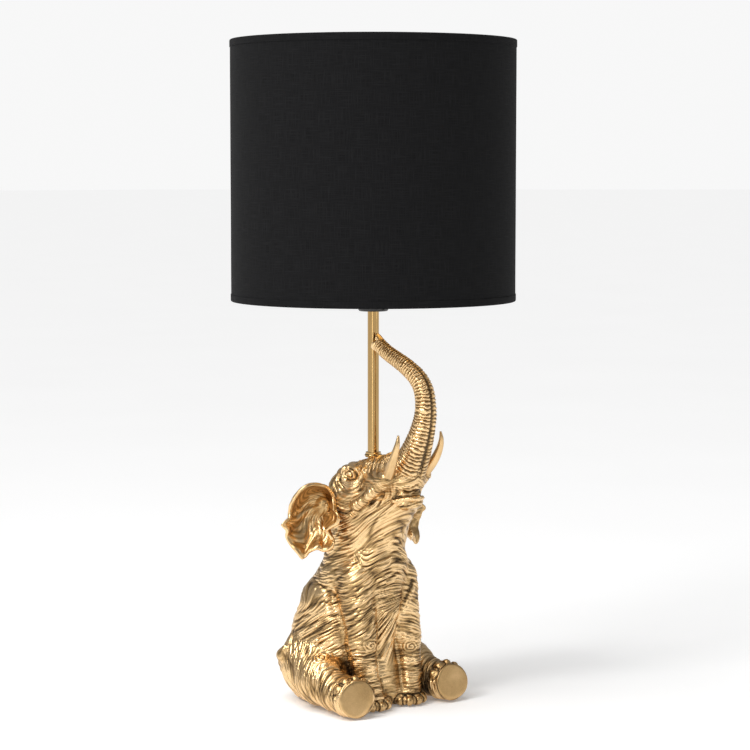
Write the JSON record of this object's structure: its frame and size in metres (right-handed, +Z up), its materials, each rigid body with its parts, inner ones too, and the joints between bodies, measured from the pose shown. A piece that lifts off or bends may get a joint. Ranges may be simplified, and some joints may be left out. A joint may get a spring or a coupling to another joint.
{
  "type": "table lamp",
  "caption": "Table lamp: seated elephant figure with raised trunk in gold, brass tube, screw lampholder, bulb and black cloth drum shade.",
  "frame": {"origin": "on the axis of the lamp tube and the shade, at the underside of the felt pad (table level)", "axes": "+Z up along the lamp tube; the elephant faces -Y; its left side is +X"},
  "size_m": [0.2499, 0.25, 0.584],
  "materials": {
    "gilt_resin": "satin antique gold paint with brown shading in the wrinkles",
    "felt": "dark felt",
    "zinc_steel": "bright zinc plating",
    "brass_tube": "satin brass lacquer",
    "black_plastic": "satin black",
    "cream_insulator": "matt",
    "contact_brass": "bare sheet brass",
    "black_wire": "black lacquer",
    "gold_liner": "gold foiled liner sheet",
    "black_cloth": "plain weave with fine slubs",
    "opal_glass": "opal white",
    "white_plastic": "satin white",
    "bulb_metal": "bright"
  },
  "bodies": {
    "lamp": {"figure_body": "gilt_resin", "raised_trunk": "gilt_resin", "right_ear": "gilt_resin", "left_ear": "gilt_resin", "right_tusk": "gilt_resin", "left_tusk": "gilt_resin", "felt_pad": "felt", "base_washer": "zinc_steel", "base_nut": "zinc_steel", "cord_bush": "black_plastic", "lamp_tube": "brass_tube", "tube_collar": "brass_tube", "holder_cap": "black_plastic", "tube_bush": "zinc_steel", "locking_screw": "zinc_steel", "contact_carrier": "cream_insulator", "centre_contact": "contact_brass", "side_contact": "contact_brass", "terminal_screws": "contact_brass", "threaded_sleeve": "black_plastic"},
    "lower_ring": {"lower_shade_ring": "black_plastic"},
    "upper_ring": {"upper_shade_ring": "black_plastic"},
    "shade": {"fitter_ring": "black_wire", "fitter_spokes": "black_wire", "bottom_wire_ring": "black_wire", "top_wire_ring": "black_wire", "shade_liner": "gold_liner", "shade_cloth": "black_cloth", "bottom_trim": "black_cloth", "top_trim": "black_cloth"},
    "bulb": {"bulb_globe": "opal_glass", "bulb_neck": "white_plastic", "bulb_cap": "bulb_metal", "bulb_insulator": "black_plastic", "bulb_tip": "bulb_metal"}
  },
  "joints": [
    {"name": "shade_turn", "type": "hinge", "parent": "lamp", "child": "shade", "pos_m": [0, 0, 0.38], "axis": [0, 0, 1], "continuous": true},
    {"name": "lower_ring_turn", "type": "hinge", "parent": "lamp", "child": "lower_ring", "pos_m": [0, 0, 0.376], "axis": [0, 0, -1], "range_deg": [0, 120]},
    {"name": "upper_ring_turn", "type": "hinge", "parent": "lamp", "child": "upper_ring", "pos_m": [0, 0, 0.384], "axis": [0, 0, 1], "range_deg": [0, 2880]},
    {"name": "bulb_turn", "type": "hinge", "parent": "lamp", "child": "bulb", "pos_m": [0, 0, 0.4], "axis": [0, 0, 1], "range_deg": [0, 2160]}
  ]
}
